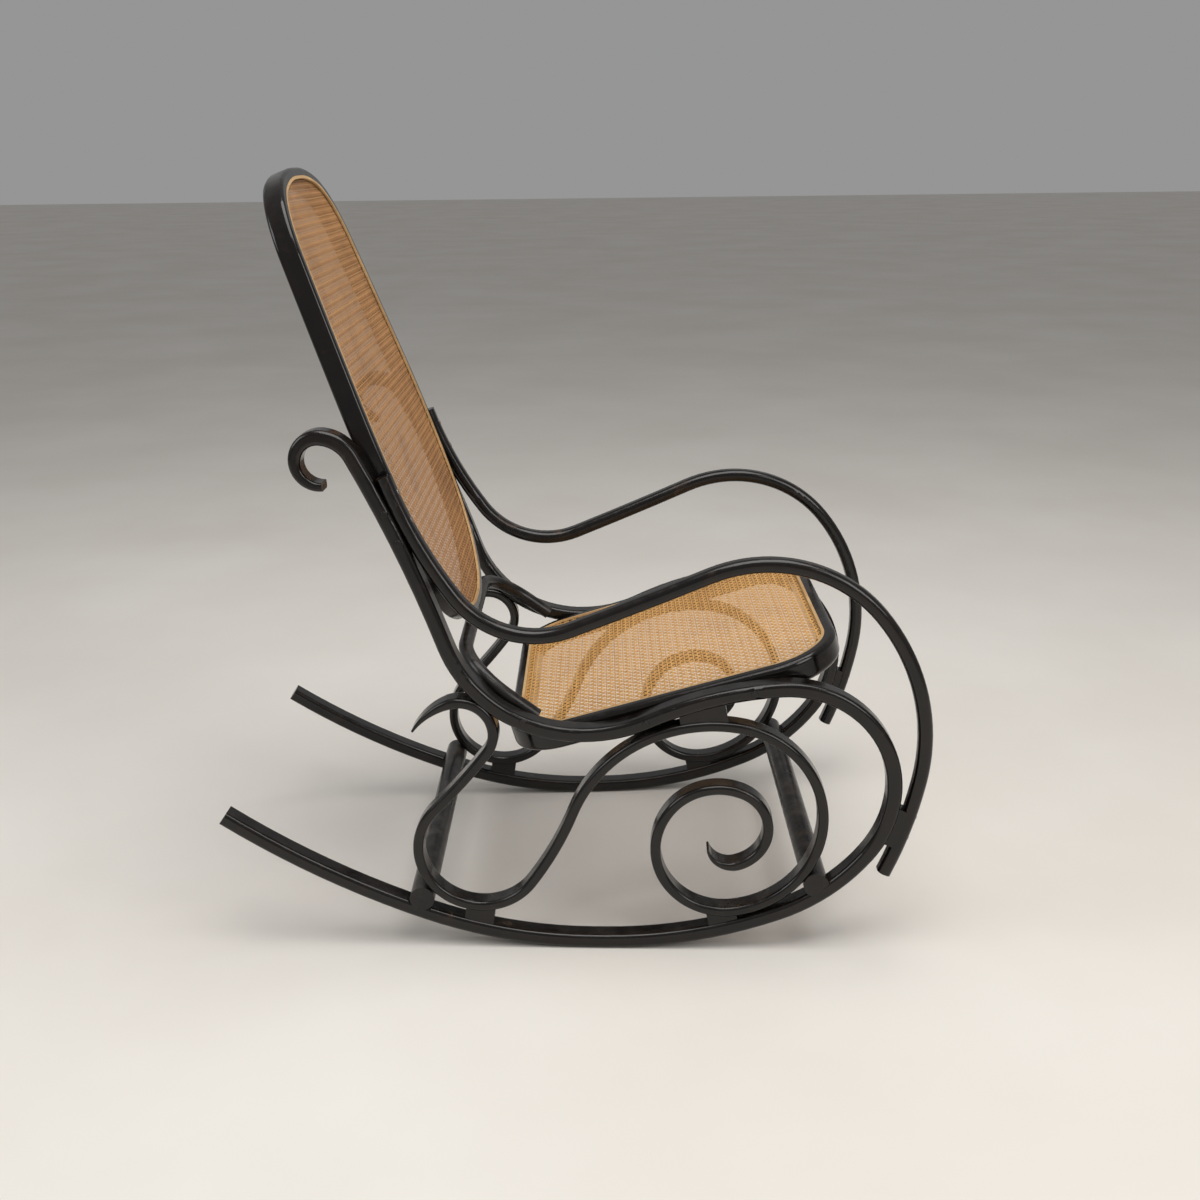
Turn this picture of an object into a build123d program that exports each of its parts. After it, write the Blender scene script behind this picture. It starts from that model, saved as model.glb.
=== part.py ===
from build123d import *
import math
import os

# Bentwood rocking chair with a woven cane seat and back, in millimetres.
# While it is built, the chair faces -Y, +Z is up, and the runners touch the floor just behind Y = 0.
# "forward" means a distance towards the front, so forward = -Y.
# At the end every piece is moved so that the origin lies on the floor under the middle of the chair.

# ---- side frames: one long bent band per side, from runner tip to rear scroll ----
side_half_spacing = 245.0
side_splay = 2.2
band_thick = 20.0
band_width = 30.0
band_edge_radius = 6.0
scroll_tip_thick = 11.0
scroll_tip_radius = 4.0
runner_level_run = 20.0
runner_rear_bends = [(643, 20.4), (1220, 14.4)]
frame_bends = [
    (637, 21.7),
    (269, 31.2),
    (162, 32.8),
    (142, 98.3),
    (484, 21.1),
    (-207, 35.7),
    (-180, 60.7),
    (1790, 8.6),
    (47, 56.7),
    (31, 190.0),
]

# ---- arms: round-edged rods in the same upright plane as the side frame ----
arm_thick = 19.0
arm_width = 24.0
arm_edge_radius = 8.0
arm_start_place = 0.853
arm_start_heading = -71.2
arm_start_gap = 2.6
arm_bends = [(600, 17.1), (126, 75.4), (6500, 1.7), (-188, 73.3), (-280, 50.1), (-626, 12.8)]

# ---- scroll braces: flat bands wound between runner and seat rail ----
brace_thick = 14.0
brace_width = 30.0
brace_edge_radius = 5.0
brace_tip_thick = 3.0
brace_tip_radius = 1.3
brace_start_forward = 139.0
brace_start_height = 150.0
brace_start_heading = -75.3
brace_bends = [
    (32, 92.1),
    (56, 138.9),
    (81, 73.2),
    (93, 139.3),
    (136, 162.0),
    (200, 78.2),
    (-479, 14.6),
    (-84, 189.0),
    (781, 8.2),
    (44, 145.6),
    (93, 38.0),
]

# ---- packing blocks between the bent members ----
block_width = 22.0
top_block_forward = 130.0
top_block_height = 347.0
top_block_length = 62.0
top_block_span = 38.0
top_block_angle = 10.0
front_foot_forward = 160.0
front_foot_height = 46.0
front_foot_angle = 12.0
rear_foot_forward = -172.0
rear_foot_height = 46.0
rear_foot_angle = -9.0
foot_block_length = 40.0
foot_block_span = 28.0
arm_block_forward = 384.0
arm_block_height = 186.0
arm_block_length = 54.0
arm_block_span = 26.0
arm_block_angle = 66.0

# ---- cross stretchers: round bars saddled over the runners ----
stretcher_diameter = 34.0
front_stretcher_place = 0.458
rear_stretcher_place = 0.047
front_saddle_depth = 10.7
rear_saddle_depth = 6.6

# ---- seat: bent hoop with a rebate, a cane panel and a spline ----
seat_height_at_axis = 337.0
seat_tilt = 16.1
seat_front_forward = 314.0
seat_rear_forward = -130.0
seat_front_corner = 92.0
seat_rear_corner = 74.0
seat_rim_width = 26.0
seat_rim_depth = 34.0
seat_edge_radius = 7.0
seat_side_overlap = 0.6
seat_lip_width = 12.0

# ---- back: long oval hoop with a rebate, a cane panel and a spline ----
back_plane_forward = -24.0
back_recline = 20.1
back_top_height = 1029.0
back_rim_width = 20.0
back_rim_depth = 28.0
back_edge_radius = 5.0
back_lip_width = 8.0
back_bends = [(320, 16.0), (118, 64.0), (5900, 1.8), (616, 18.6)]
back_contact_forward = -258.0
back_side_overlap = 0.6

# ---- cane panels and splines ----
cane_thick = 2.5
spline_height = 3.0
spline_width = 4.0
panel_gap = 0.2

# ---- support bow under the back hoop ----
bow_diameter = 20.0
bow_rear_drop = 0.5
bow_front_forward = -88.0
bow_front_height = 329.0
bow_corner_radius = 82.0
bow_side_overlap = 0.5

# ---- screws ----
screw_shank = 4.0
screw_head = 9.0
screw_head_height = 2.6
screw_head_sink = 1.6
screw_gap = 0.15
bow_screw_length = 32.0

splay_cos = math.cos(math.radians(side_splay))
splay_sin = math.sin(math.radians(side_splay))
splay_slope = splay_sin / splay_cos
right_side = Plane(
    origin=(-side_half_spacing, 0, 0),
    x_dir=(-splay_sin, -splay_cos, 0),
    z_dir=(-splay_cos, splay_sin, 0),
)


def inner_face_x(forward):
    # distance from the middle plane of the chair to the inner face of a side frame
    return side_half_spacing + splay_slope * forward - band_width / 2 / splay_cos


def outer_face_x(forward):
    # distance from the middle plane of the chair to the outer face of a side frame
    return side_half_spacing + splay_slope * forward + band_width / 2 / splay_cos


def bend_edges(start, heading, bends):
    # a chain of tangent arcs; a positive radius turns left, a negative one turns right
    edges = []
    point = Vector(start[0], start[1])
    angle = heading
    for radius, turn in bends:
        direction = (math.cos(math.radians(angle)), math.sin(math.radians(angle)))
        signed_turn = math.copysign(turn, radius)
        arc = JernArc(start=point, tangent=direction, radius=abs(radius), arc_size=signed_turn)
        edges.append(arc.edge())
        point = arc @ 1
        angle = angle + signed_turn
    return edges, point, angle


def bent_band(edges, thick, width, edge_radius):
    # a round-cornered band swept along edges in the side plane
    path = Wire(edges)
    section_plane = Plane(origin=path @ 0, x_dir=(0, 0, 1), z_dir=path % 0)
    section = section_plane * RectangleRounded(width, thick, edge_radius)
    return sweep(section, path=path)


def tapered_band(edge, first_thick, last_thick, width, first_radius, last_radius):
    # one bend of a band whose thickness changes evenly from its first end to its last
    first_plane = Plane(origin=edge @ 0, x_dir=(0, 0, 1), z_dir=edge % 0)
    last_plane = Plane(origin=edge @ 1, x_dir=(0, 0, 1), z_dir=edge % 1)
    first = first_plane * RectangleRounded(width, first_thick, first_radius)
    last = last_plane * RectangleRounded(width, last_thick, last_radius)
    return sweep([first.face(), last.face()], path=Wire([edge]), multisection=True)


def side_frame_band():
    # the runner, the front loop, the seat rail, the post and the rear scroll in one band
    level_front = (0, band_thick / 2)
    level_rear = (-runner_level_run, band_thick / 2)
    level_edge = Line(level_rear, level_front).edge()
    rear_edges, _, _ = bend_edges(level_rear, 180, [(-radius, turn) for radius, turn in runner_rear_bends])
    front_edges, _, _ = bend_edges(level_front, 0, frame_bends)
    path = rear_edges + [level_edge] + front_edges[:-1]
    band = bent_band(path, band_thick, band_width, band_edge_radius)
    scroll = tapered_band(
        front_edges[-1], band_thick, scroll_tip_thick, band_width, band_edge_radius, scroll_tip_radius
    )
    return band + scroll, rear_edges, front_edges


def beside(edge, fraction, side, distance):
    # a point at a distance from a member's middle line: side 1 is left of its run, -1 is right of it
    run = edge % fraction
    normal = Vector(-run.Y, run.X) * side
    return edge @ fraction + normal * distance


def arm_rod(post_edge):
    # the arm starts just off the front face of the post and lies against it lower down
    post_to_arm = (band_thick + arm_thick) / 2 + arm_start_gap
    point = beside(post_edge, arm_start_place, -1, post_to_arm)
    start = (point.X, point.Y)
    edges, _, _ = bend_edges(start, arm_start_heading, arm_bends)
    return bent_band(edges, arm_thick, arm_width, arm_edge_radius), edges


def scroll_brace_band():
    # a spiral with a thin inner end, a long S and a hook that ends in a chisel tip
    start = (brace_start_forward, brace_start_height)
    edges, _, _ = bend_edges(start, brace_start_heading, brace_bends)
    inner = tapered_band(
        edges[0], brace_tip_thick, brace_thick, brace_width, brace_tip_radius, brace_edge_radius
    )
    middle = bent_band(edges[1:-1], brace_thick, brace_width, brace_edge_radius)
    hook = tapered_band(
        edges[-1], brace_thick, brace_tip_thick, brace_width, brace_edge_radius, brace_tip_radius
    )
    return inner + middle + hook, edges


def largest_solid(shape):
    return shape.solids().sort_by(SortBy.VOLUME)[-1]


def packing_block(forward, height, length, span, angle, members):
    # a block in the side plane, scribed to the members on both sides of it
    block = right_side * Pos(forward, height, 0) * Rot(0, 0, angle) * Box(length, span, block_width)
    for member in members:
        block = block - member
    return largest_solid(block)


def seat_outline():
    # the outer outline of the seat hoop, in the seat plane, with X across and Y forward
    tilt_cos = math.cos(math.radians(seat_tilt))
    front_half = inner_face_x(seat_front_forward) + seat_side_overlap
    rear_half = inner_face_x(seat_rear_forward) + seat_side_overlap
    front_y = seat_front_forward / tilt_cos
    rear_y = seat_rear_forward / tilt_cos
    corners = [(-front_half, front_y), (front_half, front_y), (rear_half, rear_y), (-rear_half, rear_y)]
    outline = make_face(Polyline(corners + [corners[0]]))
    front_corners = outline.vertices().sort_by(Axis.Y)[2:]
    outline = fillet(front_corners, seat_front_corner)
    rear_corners = outline.vertices().sort_by(Axis.Y)[:2]
    return fillet(rear_corners, seat_rear_corner)


def back_outline():
    # the outer outline of the back hoop, with Y = 0 at its top and the bottom below
    half_width = inner_face_x(back_contact_forward) + back_side_overlap
    natural_half = 0.0
    turned = 0.0
    for radius, turn in back_bends:
        reach = min(turned + turn, 90.0)
        natural_half += radius * (math.sin(math.radians(reach)) - math.sin(math.radians(turned)))
        turned = turned + turn
    flat = half_width - natural_half
    right_edges, point, angle = bend_edges((flat, 0), 0, [(-radius, turn) for radius, turn in back_bends])
    last_turn = 180.0 - turned
    last_radius = (point.X - flat) / math.sin(math.radians(last_turn))
    last_edges, bottom, _ = bend_edges((point.X, point.Y), angle, [(-last_radius, last_turn)])
    top_line = Line((0, 0), (flat, 0)).edge()
    bottom_line = Line((bottom.X, bottom.Y), (0, bottom.Y)).edge()
    right_half = [top_line] + right_edges + last_edges + [bottom_line]
    left_half = [edge.mirror(Plane.YZ) for edge in right_half]
    return make_face(Wire(right_half + left_half)), bottom.Y


def rim_hoop(outline, rim_width, depth, lip_width, edge_radius):
    # a hoop with rounded outer edges and a rebate for the cane; its face is at Z = 0
    blank = extrude(outline, -depth)
    blank = fillet(blank.faces().sort_by(Axis.Z)[-1].edges(), edge_radius)
    blank = fillet(blank.faces().sort_by(Axis.Z)[0].edges(), edge_radius)
    opening = extrude(offset(outline, -rim_width), -depth)
    rebate_outline = offset(outline, lip_width - rim_width)
    rebate = extrude(rebate_outline, -(cane_thick + spline_height))
    return blank - opening - rebate


def cane_panel(outline, rim_width, lip_width):
    # a thin panel that lies on the floor of the rebate
    panel_outline = offset(outline, lip_width - rim_width - panel_gap)
    return Pos(0, 0, -spline_height) * extrude(panel_outline, -cane_thick)


def cane_spline(outline, rim_width, lip_width):
    # a narrow strip on the edge of the panel, level with the face of the hoop
    outside = offset(outline, lip_width - rim_width - panel_gap)
    inside = offset(outline, lip_width - rim_width - panel_gap - spline_width)
    strip = extrude(outside, -spline_height) - extrude(inside, -spline_height)
    return strip


def support_bow(hoop_bottom):
    # a round rod bent to a wide U; its middle carries the back hoop
    cross = back_plane.from_local_coords(
        (0, hoop_bottom - bow_diameter / 2 + bow_side_overlap, -back_rim_depth / 2 - bow_rear_drop)
    )
    rear_forward = -cross.Y
    rise = cross.Z - bow_front_height
    run = bow_front_forward - rear_forward
    bow_plane = Plane(origin=cross, x_dir=(1, 0, 0), z_dir=(0, rise, -run))
    front_half = inner_face_x(bow_front_forward) - bow_diameter / 2 + bow_side_overlap
    rear_half = inner_face_x(rear_forward) - bow_diameter / 2 + bow_side_overlap
    toward_front = bow_plane.to_local_coords(Vector(0, -bow_front_forward, bow_front_height)).Y
    points = [(-front_half, toward_front), (-rear_half, 0), (rear_half, 0), (front_half, toward_front)]
    path = FilletPolyline(points, radius=bow_corner_radius)
    section = Plane(origin=path @ 0, z_dir=path % 0) * Circle(bow_diameter / 2)
    return bow_plane * sweep(section, path=path)


seat_plane = Plane(
    origin=(0, 0, seat_height_at_axis),
    x_dir=(-1, 0, 0),
    z_dir=(0, math.sin(math.radians(seat_tilt)), math.cos(math.radians(seat_tilt))),
)
recline_sin = math.sin(math.radians(back_recline))
recline_cos = math.cos(math.radians(back_recline))
back_top_forward = back_plane_forward - back_top_height * recline_sin / recline_cos
back_plane = Plane(
    origin=(0, -back_top_forward, back_top_height),
    x_dir=(1, 0, 0),
    z_dir=(0, -recline_cos, recline_sin),
)


def stretcher(runner_edge, fraction, side, saddle_depth):
    # a round bar on top of both runners, as long as the chair is wide at that point
    runner_to_bar = (band_thick + stretcher_diameter) / 2 - saddle_depth
    middle = beside(runner_edge, fraction, side, runner_to_bar)
    forward = middle.X * splay_cos
    length = 2 * outer_face_x(forward)
    return Pos(0, -forward, middle.Y) * Rot(0, 90, 0) * Cylinder(stretcher_diameter / 2, length)


def surface_plane(edge, fraction, side, depth):
    # a place on the face of a bent member: side 1 is left of its run, side -1 is right of it
    run = edge % fraction
    normal = Vector(-run.Y, run.X) * side
    return right_side * Plane(origin=beside(edge, fraction, side, depth), x_dir=(0, 0, 1), z_dir=normal)


def outer_plane(edge, fraction, shift=0.0):
    # a place on the outer side face of the right side frame, shifted to the left of the run if asked
    point = beside(edge, fraction, 1, shift)
    return right_side * Plane(origin=(point.X, point.Y, band_width / 2), z_dir=(0, 0, 1))


def screw(place, length):
    # a raised-head screw whose head sits on the floor of a shallow counterbore
    head = Pos(0, 0, -screw_head_sink) * extrude(Circle(screw_head / 2), screw_head_height)
    head = fillet(head.edges().sort_by(Axis.Z)[-1], screw_head_height / 3)
    shank = Pos(0, 0, -screw_head_sink) * extrude(Circle(screw_shank / 2), -length)
    return place * (head + shank)


def screw_cutter(place, length):
    # the counterbore and the hole of one screw
    bore = Pos(0, 0, -screw_head_sink) * extrude(Circle(screw_head / 2 + screw_gap), 2 * screw_head)
    hole = Pos(0, 0, -screw_head_sink) * extrude(Circle(screw_shank / 2 + screw_gap), -length - screw_gap)
    return place * (bore + hole)


def cut_all(shape, cutters):
    for cutter in cutters:
        shape = shape - cutter
    return shape


# ---- plain members of the right side ----
frame, rear_edges, frame_edges = side_frame_band()
frame = right_side * frame
arm, arm_edges = arm_rod(frame_edges[7])
arm = right_side * arm - frame
brace, brace_edges = scroll_brace_band()
brace = right_side * brace - frame
left_frame = mirror(frame, about=Plane.YZ)
left_brace = mirror(brace, about=Plane.YZ)

# ---- seat and back ----
seat_face = seat_outline()
back_face, back_bottom = back_outline()
seat_hoop = seat_plane * rim_hoop(seat_face, seat_rim_width, seat_rim_depth, seat_lip_width, seat_edge_radius)
seat_hoop = seat_hoop - frame - left_frame
seat_cane = seat_plane * cane_panel(seat_face, seat_rim_width, seat_lip_width)
seat_spline = seat_plane * cane_spline(seat_face, seat_rim_width, seat_lip_width)
back_hoop = back_plane * rim_hoop(back_face, back_rim_width, back_rim_depth, back_lip_width, back_edge_radius)
back_hoop = back_hoop - frame - left_frame
back_cane = back_plane * cane_panel(back_face, back_rim_width, back_lip_width)
back_spline = back_plane * cane_spline(back_face, back_rim_width, back_lip_width)
bow = support_bow(back_bottom) - frame - left_frame - back_hoop

# ---- stretchers ----
front_bar = stretcher(frame_edges[1], front_stretcher_place, 1, front_saddle_depth)
front_bar = front_bar - frame - left_frame - brace - left_brace
rear_bar = stretcher(rear_edges[1], rear_stretcher_place, -1, rear_saddle_depth)
rear_bar = rear_bar - frame - left_frame - brace - left_brace

# ---- packing blocks of the right side ----
top_block = packing_block(
    top_block_forward, top_block_height, top_block_length, top_block_span, top_block_angle, [frame, brace]
)
front_foot_block = packing_block(
    front_foot_forward, front_foot_height, foot_block_length, foot_block_span, front_foot_angle, [frame, brace]
)
rear_foot_block = packing_block(
    rear_foot_forward, rear_foot_height, foot_block_length, foot_block_span, rear_foot_angle, [frame, brace]
)
arm_block = packing_block(
    arm_block_forward, arm_block_height, arm_block_length, arm_block_span, arm_block_angle, [frame, arm]
)

# ---- screws of the right side: node name, length and places ----
bow_middle = back_plane * Pos(0, back_bottom - bow_diameter + bow_side_overlap, -back_rim_depth / 2)
bow_middle = bow_middle * Rot(90, 0, 0)
screw_groups = {
    "arm_top_screws": (
        29.0,
        [surface_plane(arm_edges[0], fraction, 1, arm_thick / 2) for fraction in (0.14, 0.36)],
    ),
    "arm_foot_screws": (
        37.0,
        [surface_plane(arm_edges[5], fraction, 1, arm_thick / 2) for fraction in (0.36, 0.58)],
    ),
    "seat_screws": (
        44.0,
        [outer_plane(frame_edges[4], 0.2), outer_plane(frame_edges[5], 0.03)],
    ),
    "back_screws": (
        40.0,
        [outer_plane(frame_edges[7], 0.70, -3.0), outer_plane(frame_edges[7], 0.55, -2.0)],
    ),
    "bow_end_screws": (
        42.0,
        [outer_plane(frame_edges[6], 0.22, -3.0)],
    ),
    "brace_top_screws": (
        42.0,
        [surface_plane(brace_edges[5], 0.22, 1, brace_thick / 2)],
    ),
    "brace_foot_screws": (
        34.0,
        [
            surface_plane(frame_edges[0], 0.70, -1, band_thick / 2),
            surface_plane(rear_edges[0], 0.68, 1, band_thick / 2),
        ],
    ),
    "hook_screws": (
        24.0,
        [surface_plane(brace_edges[9], 0.52, 1, brace_thick / 2)],
    ),
    "stretcher_screws": (
        36.0,
        [
            surface_plane(frame_edges[1], front_stretcher_place, -1, band_thick / 2),
            surface_plane(rear_edges[1], rear_stretcher_place, 1, band_thick / 2),
        ],
    ),
}

right_cutters = [
    screw_cutter(place, length) for length, places in screw_groups.values() for place in places
]
left_cutters = [mirror(cutter, about=Plane.YZ) for cutter in right_cutters]
middle_cutter = screw_cutter(bow_middle, bow_screw_length)
all_cutters = right_cutters + left_cutters + [middle_cutter]

side_pieces = {
    "side_frame": frame,
    "arm": arm,
    "scroll_brace": brace,
    "brace_top_block": top_block,
    "front_foot_block": front_foot_block,
    "rear_foot_block": rear_foot_block,
    "arm_block": arm_block,
}
middle_pieces = {
    "front_stretcher": front_bar,
    "rear_stretcher": rear_bar,
    "seat_hoop": seat_hoop,
    "back_hoop": back_hoop,
    "support_bow": bow,
}
nodes = {}
for name, piece in side_pieces.items():
    right_piece = largest_solid(cut_all(piece, right_cutters))
    nodes[name + "_right"] = right_piece
    nodes[name + "_left"] = mirror(right_piece, about=Plane.YZ)
for name, piece in middle_pieces.items():
    nodes[name] = largest_solid(cut_all(piece, all_cutters))
nodes["seat_cane"] = seat_cane
nodes["seat_spline"] = seat_spline
nodes["back_cane"] = back_cane
nodes["back_spline"] = back_spline
for name, (length, places) in screw_groups.items():
    right_screws = [screw(place, length) for place in places]
    left_screws = [mirror(one, about=Plane.YZ) for one in right_screws]
    nodes[name] = Compound([one.solid() for one in right_screws + left_screws])
nodes["bow_middle_screw"] = screw(bow_middle, bow_screw_length)

# ---- move the whole chair so that the origin is on the floor under its middle ----
boxes = [piece.bounding_box() for piece in nodes.values()]
middle_y = (min(box.min.Y for box in boxes) + max(box.max.Y for box in boxes)) / 2
os.makedirs("parts", exist_ok=True)
for name, piece in nodes.items():
    export_step(Pos(0, -middle_y, 0) * piece, "parts/" + name + ".step")
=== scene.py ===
import math

import bpy
import numpy as np
from mathutils import Matrix, Vector


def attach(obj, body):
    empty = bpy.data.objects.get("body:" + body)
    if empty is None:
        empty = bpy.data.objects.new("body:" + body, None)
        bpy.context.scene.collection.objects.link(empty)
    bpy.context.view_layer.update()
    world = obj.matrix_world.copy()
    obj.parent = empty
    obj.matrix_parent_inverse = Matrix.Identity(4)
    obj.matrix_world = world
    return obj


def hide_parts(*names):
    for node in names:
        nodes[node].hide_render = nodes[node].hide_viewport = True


# Bentwood rocking chair: lacquered wood, six-way woven cane, steel screws. Metres, the frame's own axes.

# ---- camera ----
CAMERA_PLACE = (-1.9376, -0.0495, 1.0476)
CAMERA_LENS = 41.86
CAMERA_PITCH = 0.3132
CAMERA_YAW = -0.0037
CAMERA_ROLL = -0.0116
CAMERA_SENSOR = 36.0

# ---- studio ----
FLOOR_HALF = 30.0
WORLD_COLOUR = (0.80, 0.80, 0.80, 1.0)
WORLD_STRENGTH = 0.38

# ---- woven cane ----
WEAVE_PITCH = 0.0127
PAIR_HALF = 0.235
STRAND_WIDTH = 0.0018
DIAGONAL_WIDTH = 0.0021
STRAND_THICK = 0.00055
STRAND_WAVE = 0.00030
DIAGONAL_WAVE = 0.00062
STRAND_STEP = 0.25
EDGE_INSET = 0.0006
WIDTH_SPREAD = 0.12
STRAND_DRIFT = 0.00003
SHORTEST_RUN = 0.5
STRAND_PROFILE = ((-0.5, -0.30), (-0.5, 0.10), (0.0, 0.5), (0.5, 0.10), (0.5, -0.30), (0.0, -0.5))
SEAT_FACING = (0.0, 0.28, 0.96)
BACK_FACING = (0.0, -0.94, 0.34)
SEAT_SEED = 11
BACK_SEED = 23
PAINTED_SCREWS = ("seat_screws", "back_screws", "bow_end_screws")

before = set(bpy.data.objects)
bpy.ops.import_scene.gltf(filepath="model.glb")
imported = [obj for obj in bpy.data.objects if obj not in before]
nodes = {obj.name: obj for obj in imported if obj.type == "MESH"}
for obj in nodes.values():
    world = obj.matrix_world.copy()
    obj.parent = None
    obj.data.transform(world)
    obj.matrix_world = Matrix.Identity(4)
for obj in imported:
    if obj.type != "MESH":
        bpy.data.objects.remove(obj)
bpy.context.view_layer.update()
scene = bpy.context.scene


# ---- node helpers ----
def new_material(name):
    material = bpy.data.materials.new(name)
    material.use_nodes = True
    tree = material.node_tree
    tree.nodes.clear()
    output = tree.nodes.new("ShaderNodeOutputMaterial")
    shader = tree.nodes.new("ShaderNodeBsdfPrincipled")
    tree.links.new(shader.outputs["BSDF"], output.inputs["Surface"])
    return material, tree, shader


def place_node(tree, stretch=(1.0, 1.0, 1.0)):
    """The object's own place, in metres, stretched along its axes."""
    coords = tree.nodes.new("ShaderNodeTexCoord")
    mapping = tree.nodes.new("ShaderNodeMapping")
    mapping.inputs["Scale"].default_value = stretch
    tree.links.new(coords.outputs["Object"], mapping.inputs["Vector"])
    return mapping.outputs["Vector"]


def noise_node(tree, vector, scale, detail=3.0, rough=0.55, distortion=0.0):
    node = tree.nodes.new("ShaderNodeTexNoise")
    node.inputs["Scale"].default_value = scale
    node.inputs["Detail"].default_value = detail
    node.inputs["Roughness"].default_value = rough
    node.inputs["Distortion"].default_value = distortion
    tree.links.new(vector, node.inputs["Vector"])
    return node.outputs["Fac"]


def range_node(tree, value, low, high, to_low=0.0, to_high=1.0):
    node = tree.nodes.new("ShaderNodeMapRange")
    node.inputs["From Min"].default_value = low
    node.inputs["From Max"].default_value = high
    node.inputs["To Min"].default_value = to_low
    node.inputs["To Max"].default_value = to_high
    tree.links.new(value, node.inputs["Value"])
    return node.outputs["Result"]


def math_node(tree, operation, first, second):
    node = tree.nodes.new("ShaderNodeMath")
    node.operation = operation
    node.use_clamp = True
    for socket, value in zip(node.inputs, (first, second)):
        if isinstance(value, (int, float)):
            socket.default_value = value
        else:
            tree.links.new(value, socket)
    return node.outputs["Value"]


def mix_node(tree, factor, first, second):
    """Mixes two colours, each a tuple or a socket."""
    node = tree.nodes.new("ShaderNodeMix")
    node.data_type = "RGBA"
    if isinstance(factor, (int, float)):
        node.inputs[0].default_value = factor
    else:
        tree.links.new(factor, node.inputs[0])
    for index, value in ((6, first), (7, second)):
        if isinstance(value, tuple):
            node.inputs[index].default_value = value + (1.0,)
        else:
            tree.links.new(value, node.inputs[index])
    return node.outputs[2]


def bump_node(tree, height, strength, distance, normal=None):
    node = tree.nodes.new("ShaderNodeBump")
    node.inputs["Strength"].default_value = strength
    node.inputs["Distance"].default_value = distance
    tree.links.new(height, node.inputs["Height"])
    if normal is not None:
        tree.links.new(normal, node.inputs["Normal"])
    return node.outputs["Normal"]


def upward_node(tree):
    """1 where the surface faces up, 0 where it faces sideways or down."""
    geometry = tree.nodes.new("ShaderNodeNewGeometry")
    split = tree.nodes.new("ShaderNodeSeparateXYZ")
    tree.links.new(geometry.outputs["Normal"], split.inputs["Vector"])
    return range_node(tree, split.outputs["Z"], 0.35, 0.95)


# ---- materials ----
def lacquer(name, wear, dust, roughness):
    """Black lacquer on wood, rubbed through to brown in places, with fine scratches and some dust."""
    material, tree, shader = new_material(name)
    plain = place_node(tree)
    long_y = place_node(tree, (1.0, 0.12, 1.0))
    long_z = place_node(tree, (1.0, 1.0, 0.10))
    up = upward_node(tree)

    cloud = noise_node(tree, plain, 14.0, 4.0, 0.6)
    clouded = range_node(tree, cloud, 0.35, 0.7)
    base = mix_node(tree, clouded, (0.0022, 0.0018, 0.0017), (0.0065, 0.0040, 0.0029))

    patches = range_node(tree, noise_node(tree, plain, 26.0, 6.0, 0.68, 0.6), 0.655 - 0.05 * wear, 0.74)
    exposed = math_node(tree, "ADD", math_node(tree, "MULTIPLY", up, 0.7), 0.3)
    rubbed = math_node(tree, "MULTIPLY", patches, exposed)
    rubbed = math_node(tree, "MULTIPLY", rubbed, wear)
    streak_y = range_node(tree, noise_node(tree, long_y, 240.0, 5.0, 0.7), 0.70, 0.76)
    streak_z = range_node(tree, noise_node(tree, long_z, 300.0, 5.0, 0.7), 0.71, 0.77)
    scratches = math_node(tree, "MULTIPLY", math_node(tree, "MAXIMUM", streak_y, streak_z), 0.75 * wear)
    brown = mix_node(
        tree, noise_node(tree, long_y, 180.0, 3.0), (0.052, 0.022, 0.009), (0.125, 0.062, 0.028)
    )
    worn = math_node(tree, "MAXIMUM", rubbed, scratches)
    colour = mix_node(tree, worn, base, brown)

    specks = range_node(tree, noise_node(tree, plain, 420.0, 2.0), 0.60, 0.72)
    film = range_node(tree, noise_node(tree, plain, 38.0, 5.0, 0.65), 0.42, 0.70)
    sheltered = math_node(tree, "ADD", math_node(tree, "MULTIPLY", up, 0.8), 0.12)
    lying = math_node(tree, "MULTIPLY", sheltered, dust)
    settled = math_node(
        tree, "MAXIMUM", math_node(tree, "MULTIPLY", specks, film), math_node(tree, "MULTIPLY", film, 0.35)
    )
    dusty = math_node(tree, "MULTIPLY", settled, lying)
    colour = mix_node(tree, dusty, colour, (0.20, 0.175, 0.15))
    tree.links.new(colour, shader.inputs["Base Color"])

    sheen = noise_node(tree, plain, 55.0, 4.0)
    polish = range_node(tree, sheen, 0.3, 0.75, roughness - 0.06, roughness + 0.10)
    dulled = math_node(tree, "MULTIPLY", math_node(tree, "MAXIMUM", worn, dusty), 0.38)
    rough = math_node(tree, "ADD", polish, dulled)
    tree.links.new(rough, shader.inputs["Roughness"])
    shader.inputs["IOR"].default_value = 1.52
    shader.inputs["Specular IOR Level"].default_value = 0.36
    shader.inputs["Coat Weight"].default_value = 0.08
    shader.inputs["Coat Roughness"].default_value = 0.10

    ripple = bump_node(tree, noise_node(tree, plain, 32.0, 2.0), 0.30, 0.0016)
    grain = bump_node(tree, noise_node(tree, long_y, 420.0, 3.0), 0.16, 0.00025, ripple)
    cuts = bump_node(tree, math_node(tree, "SUBTRACT", 1.0, worn), 0.35, 0.00025, grain)
    tree.links.new(cuts, shader.inputs["Normal"])
    return material


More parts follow.
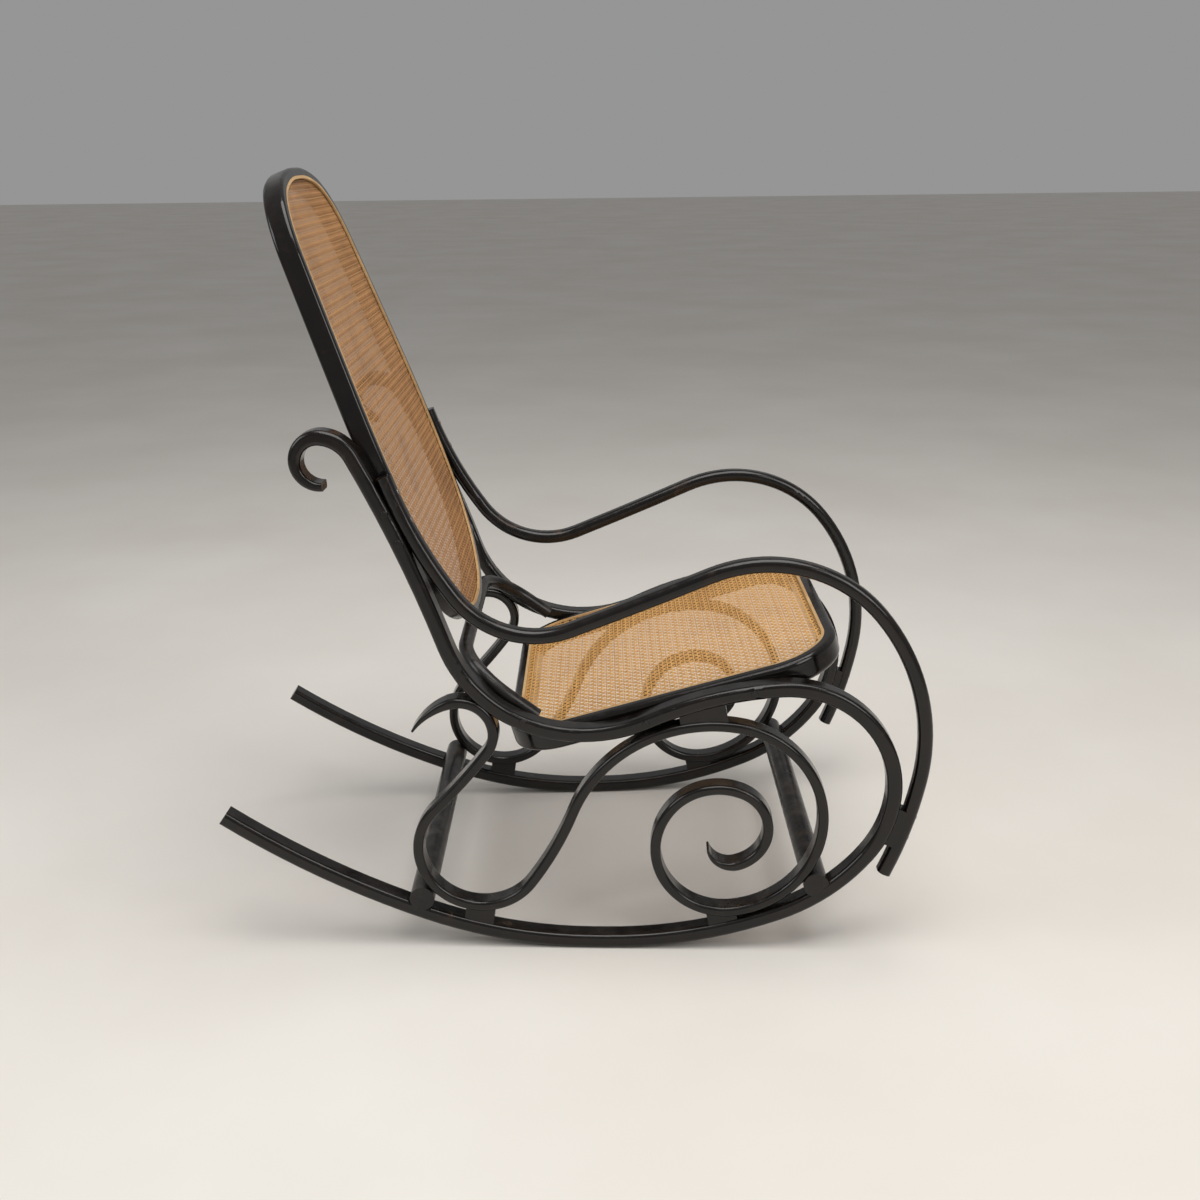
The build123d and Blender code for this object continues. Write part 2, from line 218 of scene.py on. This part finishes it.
def strand_material(name, light, middle, dark, stain):
    """Glossy cane skin with fibres along each strand, strand-to-strand change and old stains."""
    material, tree, shader = new_material(name)
    uv = tree.nodes.new("ShaderNodeTexCoord")
    along = tree.nodes.new("ShaderNodeMapping")
    along.inputs["Scale"].default_value = (14.0, 1500.0, 1.0)
    tree.links.new(uv.outputs["UV"], along.inputs["Vector"])
    fibre = noise_node(tree, along.outputs["Vector"], 1.0, 3.0, 0.6)
    tone = tree.nodes.new("ShaderNodeAttribute")
    tone.attribute_name = "tone"
    plain = place_node(tree)

    colour = mix_node(tree, range_node(tree, tone.outputs["Fac"], 0.0, 1.0), middle, light)
    colour = mix_node(tree, range_node(tree, fibre, 0.50, 0.80, 0.0, 0.55), colour, dark)
    old = range_node(tree, noise_node(tree, plain, 11.0, 5.0, 0.6, 0.4), 0.50, 0.78)
    colour = mix_node(tree, math_node(tree, "MULTIPLY", old, stain), colour, dark)
    spots = range_node(tree, noise_node(tree, plain, 170.0, 2.0), 0.66, 0.74, 0.0, 0.7)
    colour = mix_node(tree, spots, colour, dark)
    tree.links.new(colour, shader.inputs["Base Color"])

    rough = range_node(tree, fibre, 0.2, 0.8, 0.30, 0.52)
    tree.links.new(rough, shader.inputs["Roughness"])
    shader.inputs["IOR"].default_value = 1.48
    tree.links.new(bump_node(tree, fibre, 0.35, 0.0002), shader.inputs["Normal"])
    return material


def reed_material(name):
    """The round-edged reed that is glued over the edge of the cane."""
    material, tree, shader = new_material(name)
    plain = place_node(tree)
    fine = noise_node(tree, plain, 260.0, 4.0, 0.65)
    broad = noise_node(tree, plain, 18.0, 3.0)
    colour = mix_node(tree, range_node(tree, broad, 0.3, 0.7), (0.44, 0.265, 0.115), (0.60, 0.40, 0.19))
    colour = mix_node(tree, range_node(tree, fine, 0.52, 0.75, 0.0, 0.7), colour, (0.16, 0.075, 0.028))
    tree.links.new(colour, shader.inputs["Base Color"])
    shader.inputs["Roughness"].default_value = 0.46
    tree.links.new(bump_node(tree, fine, 0.4, 0.0003), shader.inputs["Normal"])
    return material


def screw_material(name):
    """Old steel, dull and a little rusty."""
    material, tree, shader = new_material(name)
    plain = place_node(tree)
    rust = range_node(tree, noise_node(tree, plain, 340.0, 5.0, 0.7), 0.42, 0.62)
    colour = mix_node(tree, rust, (0.26, 0.25, 0.235), (0.085, 0.040, 0.020))
    tree.links.new(colour, shader.inputs["Base Color"])
    tree.links.new(math_node(tree, "SUBTRACT", 1.0, rust), shader.inputs["Metallic"])
    tree.links.new(range_node(tree, rust, 0.0, 1.0, 0.34, 0.8), shader.inputs["Roughness"])
    tree.links.new(bump_node(tree, rust, 0.5, 0.0002), shader.inputs["Normal"])
    return material


def floor_material(name):
    material, tree, shader = new_material(name)
    plain = place_node(tree)
    cloud = noise_node(tree, plain, 1.4, 4.0)
    colour = mix_node(tree, range_node(tree, cloud, 0.3, 0.7), (0.70, 0.66, 0.61), (0.76, 0.73, 0.685))
    tree.links.new(colour, shader.inputs["Base Color"])
    shader.inputs["Roughness"].default_value = 0.85
    return material


def set_material(piece, material):
    piece.data.materials.clear()
    piece.data.materials.append(material)


# ---- woven cane ----
def panel_frame(node, facing):
    """The panel's across, along and outward directions, the height of its middle plane and its outline."""
    mesh = node.data
    guess = Vector(facing).normalized()
    outward = Vector((0.0, 0.0, 0.0))
    for polygon in mesh.polygons:
        if polygon.normal.dot(guess) > 0.9:
            outward += polygon.normal * polygon.area
    outward.normalize()
    across = Vector((1.0, 0.0, 0.0))
    along = outward.cross(across).normalized()
    heights = [vertex.co.dot(outward) for vertex in mesh.vertices]
    spots = [(vertex.co.dot(across), vertex.co.dot(along)) for vertex in mesh.vertices]
    middle = (min(heights) + max(heights)) / 2
    return across, along, outward, middle, convex_outline(spots)


def convex_outline(spots):
    """Corners of the convex outline round the spots, anticlockwise."""
    ordered = sorted(set((round(x, 6), round(y, 6)) for x, y in spots))

    def half(points):
        chain = []
        for x, y in points:
            while len(chain) > 1:
                (ax, ay), (bx, by) = chain[-2], chain[-1]
                if (bx - ax) * (y - ay) - (by - ay) * (x - ax) > 0:
                    break
                chain.pop()
            chain.append((x, y))
        return chain[:-1]

    return np.array(half(ordered) + half(ordered[::-1]))


def clip_line(outline, point, direction):
    """Where a line enters and leaves the convex outline, as distances from point, or None."""
    low, high = -10.0, 10.0
    for index in range(len(outline)):
        a = outline[index]
        b = outline[(index + 1) % len(outline)]
        edge = b - a
        length = math.hypot(edge[0], edge[1])
        if length < 1e-7:
            continue
        inward = np.array((-edge[1], edge[0])) / length
        gap = float(np.dot(point - a, inward)) - EDGE_INSET
        rate = float(np.dot(direction, inward))
        if abs(rate) < 1e-9:
            if gap < 0:
                return None
        elif rate > 0:
            low = max(low, -gap / rate)
        else:
            high = min(high, gap / -rate)
    return (low, high) if high - low > WEAVE_PITCH * SHORTEST_RUN else None


def strand_rings(start, end, phase_at, wave, width, step):
    """Centre points, heights and widths of one strand; phase_at gives its place in the weave."""
    count = max(2, int(round(np.linalg.norm(end - start) / step)) + 1)
    fractions = np.linspace(0.0, 1.0, count)[:, None]
    centres = start + (end - start) * fractions
    heights = wave * np.cos(math.pi * phase_at(centres))
    return centres, heights, np.full(count, width)


def add_weave(name, node_name, facing, material, seed):
    """One mesh of every strand: upright and level pairs, and two sets of diagonals woven through them."""
    across, along, outward, middle, outline = panel_frame(nodes[node_name], facing)
    pitch = WEAVE_PITCH
    centre = (outline.min(axis=0) + outline.max(axis=0)) / 2
    reach = int(np.linalg.norm(outline.max(axis=0) - outline.min(axis=0)) / pitch) + 2
    rng = np.random.default_rng(seed)
    root = math.sqrt(0.5)
    strands = []
    for index in range(-reach, reach + 1):
        for side in (-PAIR_HALF, PAIR_HALF):
            turn = 0.0 if side < 0 else 1.0
            offset = (index + side) * pitch
            strands.append(("across", centre + np.array((0.0, offset)), np.array((1.0, 0.0)), turn))
            strands.append(("along", centre + np.array((offset, 0.0)), np.array((0.0, 1.0)), turn))
        offset = index * pitch
        strands.append(("rise", centre + np.array((offset, 0.0)), np.array((root, root)), 0.0))
        strands.append(("fall", centre + np.array((offset, 0.0)), np.array((root, -root)), 0.0))

    vertices, faces, shades, runs = [], [], [], []
    ring = len(STRAND_PROFILE)
    for kind, point, direction, turn in strands:
        span = clip_line(outline, point, direction)
        if span is None:
            continue
        start, end = point + direction * span[0], point + direction * span[1]
        axis = 0 if kind in ("across", "rise", "fall") else 1
        diagonal = kind in ("rise", "fall")
        lean = {"across": 0.0, "along": 1.0, "rise": 0.0, "fall": 1.0}[kind]

        def phase(centres, axis=axis, turn=turn, lean=lean):
            return 2.0 * (centres[:, axis] - centre[axis]) / pitch + turn + lean

        wave = DIAGONAL_WAVE if diagonal else STRAND_WAVE
        width = DIAGONAL_WIDTH if diagonal else STRAND_WIDTH
        width *= 1.0 + WIDTH_SPREAD * (rng.random() - 0.5)
        step = pitch * STRAND_STEP * (math.sqrt(2.0) if diagonal else 1.0)
        centres, heights, widths = strand_rings(start, end, phase, wave, width, step)
        drift = np.cumsum(rng.normal(0.0, STRAND_DRIFT, len(centres)))
        sideways = np.array((-direction[1], direction[0]))
        centres = centres + sideways * (drift - drift.mean())[:, None]
        tone = rng.random()
        base = len(vertices)
        travelled = 0.0
        for number, (spot, height, wide) in enumerate(zip(centres, heights, widths)):
            if number:
                travelled += float(np.linalg.norm(spot - centres[number - 1]))
            for across_part, up_part in STRAND_PROFILE:
                flat = spot + sideways * across_part * wide
                lift = middle + height + up_part * STRAND_THICK
                vertices.append(across * flat[0] + along * flat[1] + outward * lift)
                shades.append(tone)
                runs.append((travelled + tone * 3.0, across_part * wide + tone))
        for number in range(len(centres) - 1):
            first = base + number * ring
            for corner in range(ring):
                following = (corner + 1) % ring
                upper = first + ring
                faces.append((first + corner, first + following, upper + following, upper + corner))
        faces.append(tuple(base + corner for corner in reversed(range(ring))))
        last = base + (len(centres) - 1) * ring
        faces.append(tuple(last + corner for corner in range(ring)))

    mesh = bpy.data.meshes.new(name)
    mesh.from_pydata(vertices, [], faces)
    mesh.polygons.foreach_set("use_smooth", [True] * len(mesh.polygons))
    tone_layer = mesh.attributes.new("tone", "FLOAT", "POINT")
    tone_layer.data.foreach_set("value", shades)
    uv_layer = mesh.uv_layers.new(name="UVMap")
    order = np.empty(len(mesh.loops), dtype=np.int32)
    mesh.loops.foreach_get("vertex_index", order)
    uv_layer.data.foreach_set("uv", np.array(runs, dtype=np.float32)[order].ravel())
    piece = bpy.data.objects.new(name, mesh)
    scene.collection.objects.link(piece)
    set_material(piece, material)
    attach(piece, "root")
    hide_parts(node_name)
    return piece


# ---- camera ----
def add_camera():
    """A camera from its place, pitch, yaw and roll; it looks along +X with the chair's front on its right."""
    forward_level = Vector((math.cos(CAMERA_YAW), -math.sin(CAMERA_YAW), 0.0))
    right_level = Vector((-math.sin(CAMERA_YAW), -math.cos(CAMERA_YAW), 0.0))
    up = Vector((0.0, 0.0, 1.0))
    look = forward_level * math.cos(CAMERA_PITCH) - up * math.sin(CAMERA_PITCH)
    top = forward_level * math.sin(CAMERA_PITCH) + up * math.cos(CAMERA_PITCH)
    right = right_level * math.cos(CAMERA_ROLL) + top * math.sin(CAMERA_ROLL)
    top = top * math.cos(CAMERA_ROLL) - right_level * math.sin(CAMERA_ROLL)
    data = bpy.data.cameras.new("camera")
    data.lens = CAMERA_LENS
    data.sensor_width = CAMERA_SENSOR
    data.sensor_fit = "HORIZONTAL"
    camera = bpy.data.objects.new("camera", data)
    scene.collection.objects.link(camera)
    turn = Matrix((right, top, -look)).transposed().to_4x4()
    camera.matrix_world = Matrix.Translation(CAMERA_PLACE) @ turn
    scene.camera = camera


def add_area_light(name, place, target, size, power, colour):
    data = bpy.data.lights.new(name, "AREA")
    data.shape = "RECTANGLE"
    data.size, data.size_y = size
    data.energy = power
    data.color = colour
    light = bpy.data.objects.new(name, data)
    scene.collection.objects.link(light)
    light.location = place
    light.rotation_euler = (Vector(target) - Vector(place)).to_track_quat("-Z", "Y").to_euler()


def add_floor(material):
    mesh = bpy.data.meshes.new("floor")
    signs = ((-1, -1), (1, -1), (1, 1), (-1, 1))
    corners = [(x * FLOOR_HALF, y * FLOOR_HALF, 0.0) for x, y in signs]
    mesh.from_pydata(corners, [], [(0, 1, 2, 3)])
    floor = bpy.data.objects.new("floor", mesh)
    scene.collection.objects.link(floor)
    set_material(floor, material)


# ---- finish each CAD node ----
frame_lacquer = lacquer("lacquer_frame", 0.75, 0.22, 0.17)
arm_lacquer = lacquer("lacquer_arm", 1.0, 0.12, 0.18)
hoop_lacquer = lacquer("lacquer_hoop", 0.6, 0.16, 0.15)
brace_lacquer = lacquer("lacquer_brace", 0.7, 0.40, 0.20)
bar_lacquer = lacquer("lacquer_bar", 0.9, 0.85, 0.30)
reed = reed_material("reed")
steel = screw_material("old_steel")
for node_name, node in nodes.items():
    if node_name in PAINTED_SCREWS:
        set_material(node, frame_lacquer)
    elif "screw" in node_name:
        set_material(node, steel)
    elif "spline" in node_name:
        set_material(node, reed)
    elif node_name.startswith("arm_"):
        set_material(node, arm_lacquer)
    elif node_name in ("seat_hoop", "back_hoop"):
        set_material(node, hoop_lacquer)
    elif node_name.startswith("scroll_brace") or node_name.endswith(("block_right", "block_left")):
        set_material(node, brace_lacquer)
    elif node_name.endswith("stretcher") or node_name == "support_bow":
        set_material(node, bar_lacquer)
    else:
        set_material(node, frame_lacquer)

seat_skin = strand_material(
    "seat_cane_skin", (0.70, 0.400, 0.130), (0.58, 0.300, 0.085), (0.24, 0.100, 0.025), 0.25
)
# The back is the same cane as the seat. Its darker colours are painted shade, standing in for the back panel
# being turned away from the light.
shaded_back_skin = strand_material(
    "back_cane_painted_shade_skin", (0.47, 0.245, 0.090), (0.36, 0.170, 0.058), (0.15, 0.062, 0.021), 0.55
)
add_weave("seat_weave", "seat_cane", SEAT_FACING, seat_skin, SEAT_SEED)
add_weave("back_weave", "back_cane", BACK_FACING, shaded_back_skin, BACK_SEED)

add_floor(floor_material("floor"))
add_camera()
add_area_light("overhead", (-0.6, -0.3, 3.2), (0.0, 0.0, 0.4), (2.6, 2.2), 78.0, (1.0, 0.985, 0.96))
add_area_light("front_window", (-2.4, -2.6, 2.3), (0.0, 0.0, 0.5), (1.6, 2.0), 42.0, (1.0, 0.97, 0.93))
add_area_light("rear_window", (-1.2, 3.0, 2.2), (0.0, 0.0, 0.5), (1.8, 1.6), 30.0, (0.94, 0.97, 1.0))
world = bpy.data.worlds.new("studio")
world.use_nodes = True
world.node_tree.nodes["Background"].inputs["Color"].default_value = WORLD_COLOUR
world.node_tree.nodes["Background"].inputs["Strength"].default_value = WORLD_STRENGTH
scene.world = world
scene.view_settings.view_transform = "Standard"
